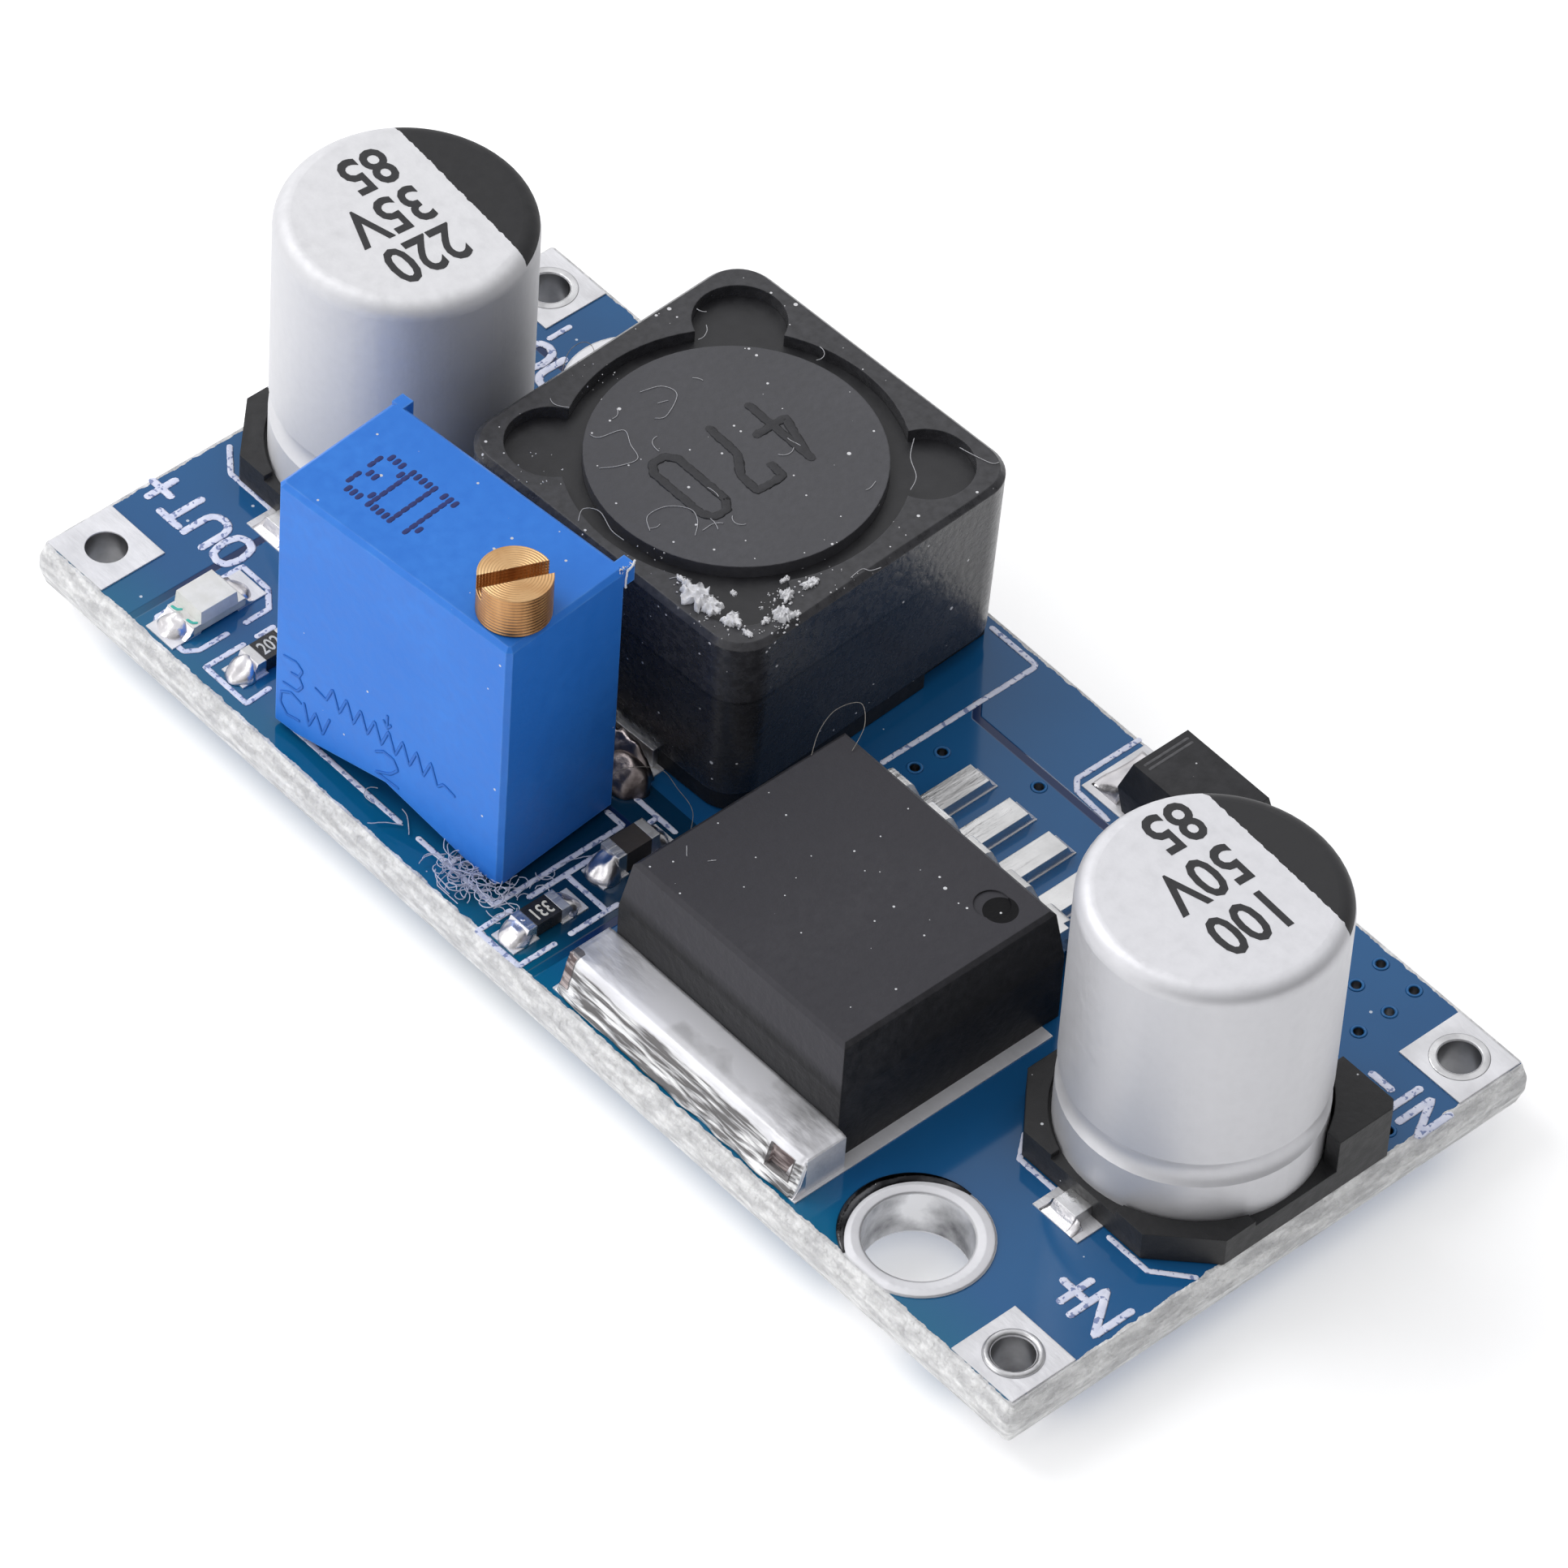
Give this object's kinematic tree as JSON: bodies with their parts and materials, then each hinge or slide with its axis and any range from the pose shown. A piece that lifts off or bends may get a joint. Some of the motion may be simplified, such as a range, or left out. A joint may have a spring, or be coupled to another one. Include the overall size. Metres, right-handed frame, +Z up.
{
  "type": "buck converter module",
  "caption": "Step-down converter board with a heat-tabbed regulator, shielded choke, can capacitors and a worm-driven trimmer that sets the output voltage.",
  "frame": {"origin": "centre of the board in plan, at the level of the tips of the trimmer's pins, which reach lowest", "axes": "+X along the board towards the input end, +Y across it towards the negative pads, +Z up out of the component side"},
  "size_m": [0.0436, 0.0206, 0.0143],
  "materials": {
    "board": "deep blue solder mask over fibreglass",
    "pad_plating": "matte tin over copper",
    "black_moulding": "fine-grained black moulding",
    "heat_tab": "solder-streaked tin over copper",
    "tinned": "satin tin",
    "ferrite": "matte dark grey ferrite",
    "winding": "enamelled copper wire",
    "resin": "dark cast resin",
    "trimmer_blue": "bright blue moulding",
    "potting": "cast resin",
    "ceramic": "white ceramic",
    "wheel_plastic": "natural nylon",
    "wiper_metal": "spring bronze",
    "screw_brass": "turned brass",
    "seal_rubber": "soft rubber",
    "can_aluminium": "satin drawn aluminium",
    "chip_glaze": "black glaze",
    "chip_ceramic": "tan fired ceramic",
    "lamp_board": "pale laminate",
    "lens": "cream cast resin",
    "solder": "bright solder"
  },
  "bodies": {
    "module": {"circuit_board": "board", "mounting_hole_rings": "pad_plating", "wire_pads": "pad_plating", "component_pads": "pad_plating", "pin_hole_plating": "pad_plating", "regulator_body": "black_moulding", "diode_body": "black_moulding", "choke_base": "black_moulding", "input_capacitor_base": "black_moulding", "output_capacitor_base": "black_moulding", "regulator_tab": "heat_tab", "regulator_leads": "tinned", "choke_terminals": "tinned", "input_capacitor_terminals": "tinned", "output_capacitor_terminals": "tinned", "diode_terminals": "tinned", "feedback_resistor_caps": "tinned", "lamp_resistor_caps": "tinned", "filter_capacitor_caps": "tinned", "lamp_contacts": "tinned", "trimmer_pins": "tinned", "choke_drum": "ferrite", "choke_shield": "ferrite", "choke_winding": "winding", "choke_resin": "resin", "trimmer_housing": "trimmer_blue", "trimmer_potting": "potting", "trimmer_element": "ceramic", "input_capacitor_can": "can_aluminium", "output_capacitor_can": "can_aluminium", "feedback_resistor_body": "chip_glaze", "lamp_resistor_body": "chip_glaze", "filter_capacitor_body": "chip_ceramic", "lamp_substrate": "lamp_board", "lamp_lens": "lens", "top_solder": "solder", "pin_solder": "solder"},
    "screw": {"trimmer_screw": "screw_brass", "trimmer_seal": "seal_rubber"},
    "wheel": {"trimmer_wheel": "wheel_plastic", "trimmer_wiper": "wiper_metal"}
  },
  "joints": [
    {"name": "screw_turn", "type": "hinge", "parent": "module", "child": "screw", "pos_m": [-0.00345, -0.0075, 0.0128], "axis": [0, 0, 1], "range_deg": [-4500, 4500]},
    {"name": "wheel_turn", "type": "hinge", "parent": "module", "child": "wheel", "pos_m": [-0.00706, -0.00781, 0.00805], "axis": [-0.0837, 0.9965, 0], "range_deg": [-141, 141]}
  ],
  "couplings": [
    {"joint": "wheel_turn", "follows": "screw_turn", "ratio": 0.03125}
  ]
}
